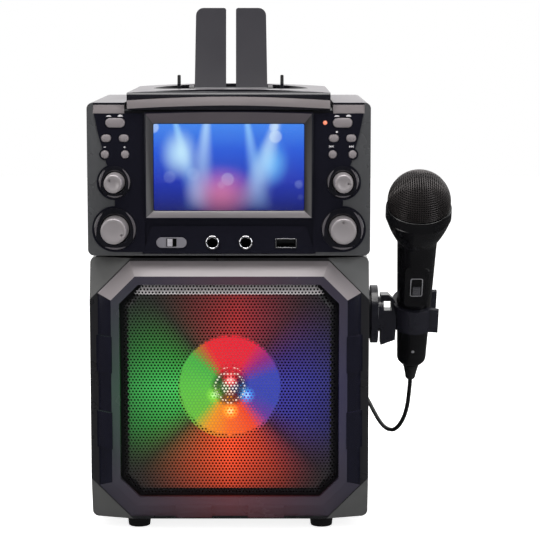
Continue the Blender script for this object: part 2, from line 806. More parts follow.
deckBlack = finish("deckBlack", (24, 24, 30), (27, 27, 33), 0.22, drift=0.05, grain=0.8,
                   depth=0.003)
lidGloss = finish("lidGloss", (22, 22, 27), (25, 25, 30), 0.16, drift=0.05, grain=1.6, depth=0.002)
gussetGrey = finish("gussetGrey", (74, 75, 75), (80, 80, 80), 0.4, grain=0.3, depth=0.004)
frameBevel = finish("frameBevel", (134, 128, 131), (142, 136, 138), 0.4, grain=0.35, depth=0.005)
topSheen = finish("topSheen", (104, 100, 105), (112, 108, 112), 0.3, grain=0.35, depth=0.004)
slopeTop = finish("bezelSlopeTop", (76, 70, 76), (82, 76, 81), 0.3, grain=0.5, depth=0.003)
slopeFoot = finish("bezelSlopeFoot", (104, 101, 104), (112, 108, 110), 0.3, grain=0.5, depth=0.003)
slopeSide = finish("bezelSlopeSide", (32, 31, 34), (40, 38, 41), 0.3, grain=0.5, depth=0.003)
bandGrey = finish("bevelGrey", (118, 112, 114), (126, 120, 121), 0.42, grain=0.35, depth=0.006)
cradleSatin = finish("cradleSatin", (50, 49, 54), (55, 54, 59), 0.38, grain=0.4, depth=0.006)
knobSilver = finish("knobSilver", (146, 141, 144), (156, 151, 153), 0.36, grain=0.22, depth=0.01,
                    metallic=0.35)
buttonGrey = finish("buttonGrey", (118, 112, 115), (128, 122, 124), 0.45, grain=0.22, depth=0.012)
ringBlack = finish("ringBlack", (16, 16, 22), (19, 19, 25), 0.10, drift=0.03, grain=2.0,
                   depth=0.001, specular=0.6)
silverArc = finish("dialArc", (96, 92, 96), (80, 77, 82), 0.35, grain=0.5, depth=0.002)
chrome = finish("brightChrome", (205, 205, 208), (190, 190, 194), 0.10, drift=0.05, grain=1.0,
                depth=0.001, metallic=1.0)
steel = finish("zincSteel", (160, 162, 165), (140, 143, 147), 0.28, grain=0.5, depth=0.003,
               metallic=1.0)
blackSteel = finish("blackSteel", (52, 52, 55), (64, 64, 66), 0.35, grain=0.4, depth=0.004,
                    metallic=0.6)
socketBlack = finish("socketBlack", (12, 12, 14), (15, 15, 17), 0.35)
rubberBlack = finish("rubberBlack", (24, 24, 26), (30, 30, 32), 0.55, grain=0.3, depth=0.01)
footBlack = finish("footBlack", (20, 20, 22), (26, 26, 28), 0.18, grain=1.0, depth=0.003)
micBlack = finish("micGloss", (12, 12, 14), (15, 15, 17), 0.14, drift=0.04, grain=1.5,
                  depth=0.001)
micMesh = finish("micMesh", (44, 41, 41), (56, 52, 52), 0.34, grain=0.3, depth=0.004,
                 metallic=0.5)
foamBlack = finish("foamBlack", (10, 10, 11), (16, 16, 17), 0.95, grain=0.5, depth=0.05)
leadBlack = finish("leadBlack", (20, 20, 21), (26, 26, 27), 0.42, grain=0.25, depth=0.004)
holderBlack = finish("holderBlack", (28, 28, 36), (33, 33, 41), 0.24, grain=0.4, depth=0.005)
printWhite = finish("printWhite", (205, 203, 206), (190, 188, 192), 0.5)
coneLit = finish("coneLit", (22, 22, 24), (28, 28, 30), 0.6, glow=(1.15, 0, 0, 1.0, 90, 0))
basketSteel = finish("basketSteel", (40, 41, 44), (46, 47, 50), 0.4, metallic=0.6)
boardGreen = finish("boardGreen", (26, 84, 50), (32, 96, 58), 0.35, grain=1.0)
cellBlue = finish("cellBlue", (52, 96, 150), (60, 104, 158), 0.3)
sledGrey = finish("sledGrey", (58, 62, 68), (64, 68, 74), 0.4)
acetal = finish("acetalWhite", (222, 219, 208), (214, 210, 198), 0.4)
lensBlue = finish("lensBlue", (80, 150, 175), (90, 160, 185), 0.08, coat=0.6)
trimGrey = finish("trimGrey", (104, 103, 110), (116, 114, 120), 0.35, grain=0.3, depth=0.006)
silverPlain = finish("sliderSilver", (168, 166, 172), (180, 178, 184), 0.3, grain=0.3,
                     depth=0.006)
rimGrey = finish("switchRimGrey", (120, 120, 124), (132, 132, 136), 0.3, grain=0.4, depth=0.003)
switchGrey = finish("switchGrey", (62, 62, 66), (72, 72, 76), 0.35, grain=0.4, depth=0.004)
lampOrange = shining("lampOrange", linear((255, 150, 120)), 0.55, (200, 110, 80))
print("stage: materials")


# Microphone lead

def lengthOf(points):
    return sum((b - a).length for a, b in zip(points, points[1:])) * mm


def makeLead():
    hanging, behind = [smoothPath(lead[part], 6) for part in ("hanging", "behind")]
    coil = coilPoints()
    coil += smoothPath([coil[-2]] + lead["tail"], 6)[6:]
    coil.append(coil[-1] + Vector((-lead["inPlug"], 0, 0)))     # on into the plug's grip

    def stretch(name, points):
        tube = sweptTube(name, points, lead["diameter"] / 2, lead["sides"])
        return painted(tube, leadBlack)

    def record(piece, points, farEnd, lay, **more):
        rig.cord(piece, exit=points[0] * mm, length=lengthOf(points),
                diameter=lead["diameter"] * mm, far_end=farEnd, stiffness="limp", lay=lay,
                path=[tuple(p * mm) for p in points], **more)

    # a blended stretch follows its first body at 'start' and its second at 'end'
    for name, points, node, first, second, start, end in (
            ("leadHanging", hanging, "mic_lead_hanging", "clip", "microphone", hanging[-1],
             hanging[0]),
            ("leadBehind", behind, "mic_lead_behind", "cabinet", "clip",
             Vector(lead["hookEnd"]), Vector(lead["lowEnd"]))):
        free = stretch(name, points)
        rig.blend(free, first, second, start=start * mm, end=end * mm)
        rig.slot(free, "lead")
        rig.replaces(free, node)
        record(free, points, "object", "hanging")
    turns = stretch("leadCoil", coil)
    place(turns, None, "cabinet", "lead", ["mic_lead_coil"])
    record(turns, coil, "plug", "coiled", with_pieces=[makePlug()])
    print("stage: lead", round(lengthOf(hanging) + lengthOf(behind) + lengthOf(coil), 3), "m")


def makePlug():
    tip = lead["tail"][-1]
    grip = [(0, 0), (2.4, 0), (2.6, 0.5), (2.9, 4), (3.2, 8), (4.3, 8.8), (4.8, 9.4), (5, 10.4)]
    for k in range(7):
        grip += [(5, 12 + 2.4 * k), (4.7, 12.4 + 2.4 * k), (4.7, 13.2 + 2.4 * k),
                 (5, 13.6 + 2.4 * k)]
    grip += [(5, 31.2), (4.7, 32), (0, 32)]
    pin = [(0, 31.8), (4.3, 31.8), (4.4, 32.1), (4.4, 33.2), (4.2, 33.5), (3.15, 33.6),
           (3.15, 44), (3.0, 44.1), (3.0, 44.7), (3.15, 44.8), (3.15, 52), (3.0, 52.1),
           (3.0, 52.7), (3.15, 52.8), (3.15, 57.6), (2.5, 58.8), (2.4, 59.2), (2.7, 60),
           (3.1, 60.8), (2.9, 61.8), (1.2, 64.3), (0, 64.5)]
    parts = [painted(spun(name, tip, (-1, 0, 0), profile, 40), mat)
             for name, profile, mat in (("plugGrip", grip, rubberBlack), ("plugPin", pin, chrome))]
    return place(joined("micPlug", parts), None, "cabinet", "plug", ["mic_plug"])


# Speaker grille: six-sided cells with round holes, set on the bulged front by Geometry Nodes
grille = {
    "half": 72.8, "low": 24.8, "high": 168.2, "cut": 12.73,
    "pitch": 2.25, "hole": 1.5, "thick": 0.7, "holeSides": 8,
    "margin": 1.5, "slope": 6.1, "faceY": -73.5, "backY": -69.2,
}


def makeCell():
    work = bmesh.new()
    reach = grille["pitch"] / math.sqrt(3)
    layers = []
    for depth in (0, grille["thick"]):
        outer = [work.verts.new((reach * math.sin(a) * mm, depth * mm, reach * math.cos(a) * mm))
                 for a in (math.pi / 3 * k for k in range(6))]
        sides = grille["holeSides"]
        hole = [work.verts.new((grille["hole"] / 2 * math.sin(a) * mm, depth * mm,
                                grille["hole"] / 2 * math.cos(a) * mm))
                for a in (2 * math.pi * (k + 0.5) / sides for k in range(sides))]
        layers.append((outer, hole))
    for outer, hole in layers:
        edges = [work.edges.new((a, b)) for ring in (outer, hole)
                 for a, b in zip(ring, ring[1:] + ring[:1])]
        bmesh.ops.triangle_fill(work, edges=edges, use_beauty=True)
    # triangle_fill also closes the hole, so faces inside it are taken out
    centre = [f for f in work.faces if all(v in layers[0][1] or v in layers[1][1]
                                           for v in f.verts)]
    bmesh.ops.delete(work, geom=centre, context="FACES_ONLY")
    front, back = layers[0][1], layers[1][1]
    bridged(work, [(front, back)])
    bmesh.ops.recalc_face_normals(work, faces=work.faces)
    for face in work.faces:
        middle = face.calc_center_median()
        if abs(middle.y) < 1e-7 and face.normal.y > 0:
            face.normal_flip()
        if abs(middle.y - grille["thick"] * mm) < 1e-7 and face.normal.y < 0:
            face.normal_flip()
        if 1e-7 < middle.y < grille["thick"] * mm - 1e-7:
            outward = Vector((middle.x, 0, middle.z))
            if face.normal.dot(outward) > 0:
                face.normal_flip()
    mesh = bpy.data.meshes.new("grilleCell")
    work.to_mesh(mesh)
    work.free()
    return added("grilleCell", mesh)


def makeGrilleTree():
    tree, size = makeGrower("perforatedPan", {
        "Float": ("Half Width", "Low", "High", "Corner Cut", "Pitch", "Margin", "Slope",
                  "Face Y", "Back Y"),
        "Bool": ("Slope Part",), "Object": ("Cell",), "Material": ("Material",)})
    plus, minus, times, over = sums(tree)
    calc = partial(mathNode, tree)
    halfHigh = times(minus(size["High"], size["Low"]), 0.5)
    middle = times(plus(size["High"], size["Low"]), 0.5)
    row = times(size["Pitch"], math.sqrt(3) / 2)

    def position():
        spot = tree.nodes.new("GeometryNodeInputPosition").outputs[0]
        return wired(tree, "ShaderNodeSeparateXYZ", {0: spot}).outputs

    # distance from a place to the octagon's nearest side
    def edgeDistance():
        spot = position()
        across, up = calc("ABSOLUTE", spot["X"]), calc("ABSOLUTE", minus(spot["Z"], middle))
        reach = minus(plus(size["Half Width"], halfHigh), size["Corner Cut"])
        corner = times(minus(reach, plus(across, up)), math.sqrt(0.5))
        straight = calc("MINIMUM", minus(size["Half Width"], across), minus(halfHigh, up))
        return calc("MINIMUM", straight, corner)

    # an odd number of places along a half length
    def places(half, step):
        return plus(times(calc("CEIL", over(half, step)), 2), 1)

    columns, rows = places(size["Half Width"], size["Pitch"]), places(halfHigh, row)
    grid = wired(tree, "GeometryNodeMeshGrid", {
        "Size X": times(minus(columns, 1), size["Pitch"]), "Size Y": times(minus(rows, 1), row),
        "Vertices X": columns, "Vertices Y": rows})
    index = tree.nodes.new("GeometryNodeInputIndex").outputs[0]
    odd = calc("MODULO", calc("MODULO", index, rows), 2)
    spot = position()
    stand = wired(tree, "ShaderNodeCombineXYZ", {
        "X": plus(spot["X"], times(odd, times(size["Pitch"], 0.5))),
        "Z": plus(spot["Y"], middle)})
    upright = wired(tree, "GeometryNodeSetPosition", {
        "Geometry": grid.outputs["Mesh"], "Position": stand.outputs[0]})
    inside = edgeDistance()
    wrongPart = calc("ABSOLUTE", minus(calc("LESS_THAN", inside, size["Slope"]),
                                       size["Slope Part"]))
    trim = wired(tree, "GeometryNodeDeleteGeometry", {
        "Geometry": upright.outputs[0],
        "Selection": calc("MAXIMUM", calc("LESS_THAN", inside, size["Margin"]), wrongPart),
    }, domain="POINT")
    cell = wired(tree, "GeometryNodeObjectInfo", {"Object": size["Cell"]})
    spread = wired(tree, "GeometryNodeInstanceOnPoints", {
        "Points": trim.outputs[0], "Instance": cell.outputs["Geometry"]})
    real = wired(tree, "GeometryNodeRealizeInstances", {0: spread.outputs[0]})
    weld = wired(tree, "GeometryNodeMergeByDistance", {0: real.outputs[0], "Distance": 0.02 * mm})
    share = wired(tree, "ShaderNodeMapRange", {
        "Value": edgeDistance(), "From Max": size["Slope"], "To Min": size["Back Y"],
        "To Max": size["Face Y"]})
    push = wired(tree, "ShaderNodeCombineXYZ", {"Y": share.outputs["Result"]})
    bulge = wired(tree, "GeometryNodeSetPosition", {
        "Geometry": weld.outputs[0], "Offset": push.outputs[0]})
    return closeTree(tree, bulge, size["Material"])


# A Geometry Nodes tree with named inputs, listed by kind, and its end
def makeGrower(name, kinds):
    tree = bpy.data.node_groups.new(name, "GeometryNodeTree")
    tree.interface.new_socket(name="Geometry", in_out="OUTPUT",
                              socket_type="NodeSocketGeometry")
    for kind, labels in kinds.items():
        for label in labels:
            tree.interface.new_socket(name=label, in_out="INPUT",
                                      socket_type="NodeSocket" + kind)
    return tree, tree.nodes.new("NodeGroupInput").outputs


def closeTree(tree, last, mat):
    paint = wired(tree, "GeometryNodeSetMaterial", {"Geometry": last.outputs[0],
                                                    "Material": mat})
    wired(tree, "NodeGroupOutput", {0: paint.outputs[0]})
    return tree


# Runs a Geometry Nodes tree with named inputs and returns its plain mesh as an object
def grown(name, tree, values, sharp=35):
    seed = added(name + "Seed", bpy.data.meshes.new(name + "Seed"))
    modifier = seed.modifiers.new("grow", "NODES")
    modifier.node_group = tree
    sockets = {item.name: item.identifier for item in tree.interface.items_tree
               if item.in_out == "INPUT"}
    for label, value in values.items():
        modifier[sockets[label]] = value
    mesh = plainMesh(seed)
    bpy.data.objects.remove(seed)
    return dressed(name, mesh, sharp)


# Joins the front and back layers of a sheet along its open border
def closeBorder(piece):
    work = bmesh.new()
    work.from_mesh(piece.data)
    ends = {}
    open_ = [e for e in work.edges if len(e.link_faces) == 1]
    middleOf = lambda e: (e.verts[0].co + e.verts[1].co) / 2
    for edge in open_:
        spot = middleOf(edge)
        ends.setdefault((round(spot.x * 1e5), round(spot.z * 1e5)), []).append(edge)
    for pair in ends.values():
        if len(pair) == 2:
            front, back = sorted(pair, key=lambda e: middleOf(e).y)
            a, b = front.verts
            c, d = back.verts
            if (a.co - c.co).length > (a.co - d.co).length:
                c, d = d, c
            loop = front.link_loops[0]
            if loop.vert == a:
                work.faces.new((b, a, c, d))
            else:
                work.faces.new((a, b, d, c))
    work.to_mesh(piece.data)
    work.free()
    return piece


def octagon(inset=0.0):
    half, cut = grille["half"] - inset, grille["cut"] - inset * (2 - math.sqrt(2))
    low, high = grille["low"] + inset, grille["high"] - inset
    return [(half, low + cut), (half, high - cut), (half - cut, high), (cut - half, high),
            (-half, high - cut), (-half, low + cut), (cut - half, low), (half - cut, low)]


def makeGrille():
    tree = makeGrilleTree()
    cell = makeCell()
    common = {label: grille[key] * mm for label, key in (
        ("Half Width", "half"), ("Low", "low"), ("High", "high"), ("Corner Cut", "cut"),
        ("Pitch", "pitch"), ("Margin", "margin"), ("Slope", "slope"), ("Face Y", "faceY"),
        ("Back Y", "backY"))}
    common.update({"Cell": cell, "Material": gridBlack})
    for name, part in (("grilleFace", False), ("grilleSlope", True)):
        piece = closeBorder(grown(name, tree, {**common, "Slope Part": part}))
        place(piece, None, "cabinet", "grille_black",
              ["speaker_grille"] if name == "grilleFace" else ())
        if part:
            paintFaces(piece, gridEdge, lambda at, normal: True)
            paintFaces(piece, gridPale, lambda at, normal: at.z > grille["high"] - 6.4
                       and abs(at.x) < 57 + grille["high"] - at.z)
    bpy.data.objects.remove(cell)
    back, margin = grille["backY"], grille["margin"] + 0.9
    rise = (grille["faceY"] - back) * margin / grille["slope"]
    rim = loft("grilleRim", [(octagon(0.15), back), (octagon(margin), back + rise),
                             (octagon(margin), back + rise + 1.0), (octagon(0.15), back + 1.0)])
    place(rim, gridEdge, "cabinet", "grille_black")
    print("stage: grille")


# Woofer cone and the four lamps
woofer = {
    "z": lampLight["axisZ"], "startY": -51, "bracketY": -56, "lampR": 2.5, "lampStrength": 1.6,
    "lampBase": (60, 60, 60),
}


def makeWoofer():
    outline = arcPoints(0, 14.9, 9, -90, -6, 7)
    for k in range(23, 0, -1):
        t = k / 24
        outline.append((35 - 25.2 * t, 1 + 12.6 * t + 0.35 * math.sin(12 * math.pi * t)))
    outline += [(35, 1), (35, 2), (34.4, 2.4), (10.4, 15.6), (8, 16), (8, 27), (7.2, 27),
                (7.2, 15.2), (0, 14.8)]
    cone = spun("wooferCone", (0, woofer["startY"], woofer["z"]), (0, 1, 0), outline, 96)
    place(cone, coneLit, "cone", "cone", ["woofer_cone"])
    for name, angle, colour in lampLight["colours"]:
        x, z = arcPoints(0, woofer["z"], lampLight["ring"], angle, angle, 1)[0]
        r = woofer["lampR"]
        dome = [(0, 0), (r + 0.4, 0), (r + 0.4, 0.9), (r, 1.1)] + arcPoints(0, 3.4, r, 0, 90, 6)
        lamp = spun(name + "Lamp", (x, woofer["bracketY"], z), (0, -1, 0), dome, 32)
        place(lamp, shining(name + "Light", colour, woofer["lampStrength"],
                            woofer["lampBase"]), "cabinet", "basket")
    print("stage: woofer and lamps")


# CAD nodes that keep their own mesh get these finishes
keptFinish = {
    "lid_hinge_pin": steel, "spindle_motor": steel, "drive_chassis": sledGrey,
    "pickup_sled": sledGrey, "sled_gear": acetal, "volume_controls": steel,
    "control_board": boardGreen, "main_board": boardGreen, "battery_pack": cellBlue,
    "woofer_frame": baffleBlack, "woofer_surround": baffleBlack, "lamp_bracket": coneLit,
    "case_screws": blackSteel, "status_lamp": lampOrange,
}

# node: (body, slot, edge width, finish)
mouldedParts = {
    "lower_cabinet": ("cabinet", "cabinet_black", 0.7, cabinetBlack),
    "upper_housing": ("cabinet", "cheek_graphite", 0.5, graphite),
    "control_fascia": ("cabinet", "fascia_gloss", 0.22, fasciaGloss),
    "screen_bezel": ("cabinet", "fascia_gloss", 0.25, fasciaGloss),
    "back_cover": ("cabinet", "cabinet_black", 0.5, cabinetBlack),
    "top_deck": ("cabinet", "deck_black", 0.35, deckBlack),
    "disc_lid": ("lid", "lid_gloss", 0.6, lidGloss),
    "tablet_cradle": ("cradle", "cradle_satin", 0.4, cradleSatin),
    "disc_hub": ("hub", "deck_black", 0.2, socketBlack),
    "rear_jacks": ("cabinet", "socket_black", 0.2, socketBlack),
    "cord_hook": ("cabinet", "cabinet_black", 0.3, cabinetBlack),
    "holder_base": ("cabinet", "holder_black", 0.35, holderBlack),
    "mic_clip": ("clip", "holder_black", 0.45, holderBlack),
}


def setFinish(node, mat):
    shell = nodes[node]
    if not shell.material_slots:
        shell.data.materials.append(mat)
    for slot in shell.material_slots:
        slot.material = mat


# Paints the faces that a test picks out; the test gets a face's centre (mm) and its normal
def paintFaces(piece, mat, wanted):
    piece.data.materials.append(mat)
    index = len(piece.data.materials) - 1
    for face in piece.data.polygons:
        if wanted(face.center / mm, face.normal):
            face.material_index = index


def onBezel(at, normal):
    return -0.97 < normal.y < -0.7 and -75.6 < at.y < -72.6


def makeShells():
    for node, mat in keptFinish.items():
        setFinish(node, mat)
    made = {}
    for node, (body, slot, width, mat) in mouldedParts.items():
        piece = moulded(node.replace("_", " ").title().replace(" ", "") + "Shell", node, width)
        place(piece, mat, body, slot, [node])
        made[node] = piece
    for node, mat, wanted in (
            ("lower_cabinet", baffleBlack, lambda at, n: n.y < -0.9 and -49 < at.y < -47),
            ("lower_cabinet", gussetGrey, lambda at, n: abs(n.x) > 0.2 and -0.96 < n.y < -0.8),
            ("upper_housing", bandGrey,
             lambda at, n: 280.6 < at.z < 287 and n.z > 0.1 and n.y < -0.5),
            ("upper_housing", topSheen, lambda at, n: at.z > 287 and n.z > 0.5),
            ("upper_housing", deckBlack, lambda at, n: at.z > 286.4 and at.y < -71 and n.y < -0.6),
            ("disc_lid", topSheen, lambda at, n: n.z > 0.9 and at.z > 294 and at.y > -72),
            ("screen_bezel", slopeTop, lambda at, n: n.z < -0.2 and onBezel(at, n)),
            ("screen_bezel", slopeFoot, lambda at, n: n.z > 0.2 and onBezel(at, n)),
            ("screen_bezel", slopeSide, lambda at, n: abs(n.x) > 0.3 and onBezel(at, n))):
        paintFaces(made[node], mat, wanted)
    # arched pale band across the lid's front, and the two posts on its top
    half, steps, postX, postY, lidTop = 66.3, 24, 35.2, -9, 292
    arch = [(-half + 2 * half * k / steps, math.sin(math.pi * k / steps))
            for k in range(steps + 1)]
    band = plate("lidBand", [[(x, 284.2 + 2.1 * rise) for x, rise in arch]
                             + [(x, 289.6 + 2.4 * rise) for x, rise in reversed(arch)]],
                 -76.08, -75.5, 0.08, 1)
    place(band, bandGrey, "lid", "lid_gloss")
    posts = [spun("lidPost", (side * postX, postY, lidTop), (0, 0, 1),
                  [(0, 0), (1.25, 0), (1.15, 11.9), (0.8, 12.4), (0, 12.5)], 20)
             for side in (-1, 1)]
    place(joined("lidPosts", posts), socketBlack, "lid", "lid_gloss")
    print("stage: shells")


# Front frame: pale upper bevels, dark sides and blocks
def makeFrame():
    piece = moulded("frontFrameRing", "front_frame", 0.3)
    place(piece, slate, "cabinet", "frame_slate", ["front_frame"])
    paintFaces(piece, navySide, lambda at, normal: abs(at.x) > 73 and at.y < -66.1
               and (abs(normal.x) > 0.55 or at.y < -75.2))
    paintFaces(piece, frameBevel, lambda at, normal: normal.z > 0.4 and -0.9 < normal.y < -0.5)
    print("stage: front frame")


# Screen: panel picture behind a clear window
screen = {"half": 49.35, "low": 217.2, "high": 274.1}


def makeStagePicture():
    mat, tree, shader = makeMaterial("stagePicture", {
        "Emission Strength": 1.0, "Base Color": (0.01, 0.01, 0.012, 1), "Roughness": 0.4,
        "Specular IOR Level": 0.2})
    plus, minus, times, over = sums(tree)
    where = tree.nodes.new("ShaderNodeTexCoord").outputs["Object"]
    split = wired(tree, "ShaderNodeSeparateXYZ", {0: where}).outputs
    across = over(split["X"], screen["half"] * mm)
    up = over(minus(split["Z"], screen["low"] * mm), (screen["high"] - screen["low"]) * mm)
    # deep blue at the foot, brighter blue at the head
    sky = wired(tree, "ShaderNodeValToRGB", {"Fac": up})
    stops = sky.color_ramp.elements
    for spot, tone in ((0.35, (14, 46, 176)), (0.7, (24, 86, 214))):
        stops.new(spot).color = (*linear(tone), 1)
    for k, tone in ((0, (8, 20, 104)), (-1, (62, 132, 236))):
        stops[k].color = (*linear(tone), 1)
    total = sky.outputs["Color"]

    def add(colour, weight):
        nonlocal total
        total = wired(tree, "ShaderNodeMix", {
            "Factor": weight, "A": total, "B": (*linear(colour), 1),
        }, data_type="RGBA", blend_type="SCREEN").outputs["Result"]

    # beams that fan out from spotlights above the picture
    for lampX, width, lean, tone in ((-0.75, 0.10, -0.30, (150, 205, 255)),
                                     (-0.28, 0.13, 0.12, (190, 225, 255)),
                                     (0.22, 0.10, -0.18, (150, 200, 255)),
                                     (0.68, 0.15, 0.35, (200, 228, 255))):
        drop = minus(1.15, up)
        off = mathNode(tree, "ABSOLUTE", minus(across, plus(times(drop, -lean), lampX)))
        spread = plus(times(drop, width * 1.6), width * 0.4)
        share = ranged(tree, over(off, spread), 0, 1, 0.62, 0)
        add(tone, times(share, mathNode(tree, "POWER", up, 0.7)))
    # soft round lights out of focus
    spread = wired(tree, "ShaderNodeMapping", {
        "Vector": where, "Location": (0.013, 0, 0.021), "Scale": (1, 0, 1)})
    cells = wired(tree, "ShaderNodeTexVoronoi", {
        "Vector": spread.outputs[0], "Scale": 62.0, "Randomness": 0.85}).outputs
    tone = wired(tree, "ShaderNodeSeparateColor", {0: cells["Color"]})
    add((215, 235, 255), times(ranged(tree, cells["Distance"], 0.22, 0.30, 0.5, 0),
                               times(tone.outputs[0], up)))
    # warm glow over the middle of the stage, and two cool ones
    for x, z, wide, tall, tone, level in ((-0.10, 0.22, 0.55, 0.36, (255, 140, 90), 0.5),
                                          (0.55, 0.55, 0.30, 0.34, (110, 190, 255), 0.8),
                                          (-0.66, 0.66, 0.30, 0.34, (190, 230, 255), 0.85)):
        away = lengthTwo(tree, over(minus(across, x), wide), over(minus(up, z), tall))
        add(tone, ranged(tree, away, 0, 1, level, 0))
    tree.links.new(total, shader.inputs["Emission Color"])
    return mat


def makeWindowGlass():
    return makeMaterial("windowGlass", {
        "Base Color": (1, 1, 1, 1), "Transmission Weight": 1.0, "Roughness": 0.02,
        "IOR": 1.2})[0]


def makeScreen():
    setFinish("lcd_panel", makeStagePicture())
    setFinish("screen_window", makeWindowGlass())
    print("stage: screen")


# Dials: four rings and knobs. name: (x, z, knob diameter, ring diameter, pointer)
dials = {
    "echo": (-74.9, 236.0, 12.0, 21.6, 135),
    "mic_volume": (-74.9, 205.0, 16.8, 28.4, -25),
    "balance": (74.9, 236.0, 12.0, 21.6, 0),
    "master_volume": (74.9, 205.0, 16.8, 28.4, 90),
}
dialLook = {
    "ringFront": -74.6, "ringBack": -72.3, "baseY": -73.9, "knobLong": 16.0,
    "dimpleIn": 2.6, "dish": 0.9, "arcs": [(128, 200), (-28, 58), (240, 300)],
}


# A crescent of silver on the ring, thickest in its middle
def crescent(x, z, outer, thick, start, end, steps=28):
    rim = arcPoints(x, z, outer, start, end, steps)
    inner = []
    for k in range(steps + 1):
        share = math.sin(math.pi * k / steps) ** 0.6
        r = outer - 0.12 - (thick - 0.12) * share
        a = math.radians(end + (start - end) * k / steps)
        inner.append((x + r * math.cos(a), z + r * math.sin(a)))
    return rim + inner


def makeDials():
    ringParts = []
    for name, (x, z, knobWide, ringWide, pointer) in dials.items():
        front, back = dialLook["ringFront"], dialLook["ringBack"]
        outer, inner = ringWide / 2, knobWide / 2 + 1.5
        deep = back - front
        ring = spun(name + "Ring", (x, back, z), (0, -1, 0),
                    [(1.9, 0), (outer, 0), (outer, deep - 0.9), (outer - 0.3, deep - 0.3),
                     (outer - 1.0, deep), (inner + 0.5, deep), (inner, deep - 0.4),
                     (inner, deep - 1.7), (1.9, deep - 1.7)], 96, 30, closedLoop=True)
        ringParts.append(painted(ring, ringBlack))
        for k, (start, end) in enumerate(dialLook["arcs"]):
            thick = (outer - inner) * (0.36 if k < 2 else 0.3)
            shape = crescent(x, z, outer - 0.7, thick, start, end)
            arc = plate(f"{name}Arc{k}", [shape], front - 0.14, front + 0.3, 0.1, 1)
            ringParts.append(painted(arc, silverArc))
        r, long = knobWide / 2, dialLook["knobLong"]
        edge = arcPoints(r - 1, long - 1, 1, 0, 90, 6)
        dish = [(q, long - dialLook["dish"] * (1 - (q / (r - 2)) ** 2) - 0.02)
                for q in [(r - 2) * k / 8 for k in range(8, -1, -1)]]
        profile = [(0, 0), (r + 0.6, 0), (r + 0.6, 0.25)] + edge + [(r - 1.6, long)] + dish
        knob = spun(name + "Knob", (x, dialLook["baseY"], z), (0, -1, 0), profile, 96, 30)
        painted(knob, knobSilver)
        spotX, spotZ = arcPoints(x, z, r - dialLook["dimpleIn"], pointer, pointer, 1)[0]
        spot = (spotX, dialLook["baseY"] - long, spotZ)
        cutter = spun(name + "Dimple", spot, (0, 1, 0),
                      [(0, -1.2), (0.95, -1.2), (0.95, 0.75), (0.6, 1.15), (0, 1.3)], 28)
        cut = knob.modifiers.new("dimple", "BOOLEAN")
        cut.object = cutter
        cut.operation = "DIFFERENCE"
        cut.solver = "EXACT"
        applyModifiers(knob, 30)
        bpy.data.objects.remove(cutter)
        stem = spun(name + "Spindle", (x, dialLook["baseY"] + 8, z), (0, -1, 0),
                    [(0, 0), (1.45, 0), (1.45, 10), (0, 10)], 20)
        body = name + "_knob"
        place(joined(name + "Dial", [knob, painted(stem, steel)]), None, body, "knob_silver",
              [body])
    place(joined("dialRings", ringParts), None, "cabinet", "fascia_gloss", ["dial_rings"])
    print("stage: dials")


# Buttons: (body, x, z, half length, half height)
buttons = [
    ("power_button", -74.3, 274.9, 6.4, 3.1), ("lights_button", 74.5, 274.9, 6.4, 3.1),
    ("button_l1", -80.3, 264.8, 3.25, 2.4), ("button_l2", -68.7, 264.8, 3.25, 2.4),
    ("button_l3", -81.2, 254.2, 2.65, 2.65), ("button_l4", -68.0, 254.2, 2.65, 2.65),
    ("button_r1", 68.8, 264.8, 3.25, 2.4), ("button_r2", 80.2, 264.8, 3.25, 2.4),
    ("button_r3", 68.1, 254.2, 2.65, 2.65), ("button_r4", 81.1, 254.2, 2.65, 2.65),
]
buttonLook = {"front": -74.6, "back": -70.2}


# A rounded cap: the outline shrinks over a quarter round, then rises to a shallow crown
def makeCap(name, x, z, halfLong, halfHigh, front, back, round_=0.7, crown=0.35):
    outer = pillOutline(x, z, halfLong, halfHigh)
    rows = [(outer, back), (outer, front + crown + round_)]
    for a in (25, 50, 75):
        inset = round_ * (1 - math.cos(math.radians(a)))
        rows.append((pillOutline(x, z, halfLong, halfHigh, -inset),
                     front + crown + round_ * (1 - math.sin(math.radians(a)))))
    for share in (0.75, 0.5, 0.25, 0.08):
        reach = (halfHigh - round_) * share
        run = halfLong - halfHigh
        rows.append((pillOutline(x, z, run + reach, reach), front + crown * share ** 2))
    return loft(name, rows, 30, closed=False)


def makeButtons():
    for body, x, z, halfLong, halfHigh in buttons:
        cap = makeCap(body + "Cap", x, z, halfLong, halfHigh, buttonLook["front"],
                      buttonLook["back"])
        stem = spun(body + "Stem", (x, buttonLook["back"] - 0.2, z), (0, 1, 0),
                    [(0, 0), (halfHigh + 0.2, 0), (halfHigh + 0.2, 0.9), (1.3, 0.9), (1.3, 1.6),
                     (0, 1.6)], 24)
        parts = [painted(part, buttonGrey) for part in (cap, stem)]
        place(joined(body + "Key", parts), None, body, "button_grey", [body])
    print("stage: buttons")


# Printed marks: minus, plus, skips, stop, domes over the push switches and a power ring
# (the power ring lies under the cap and is hidden)
marks = {"face": -74.1, "capFace": -74.26, "proud": 0.04}


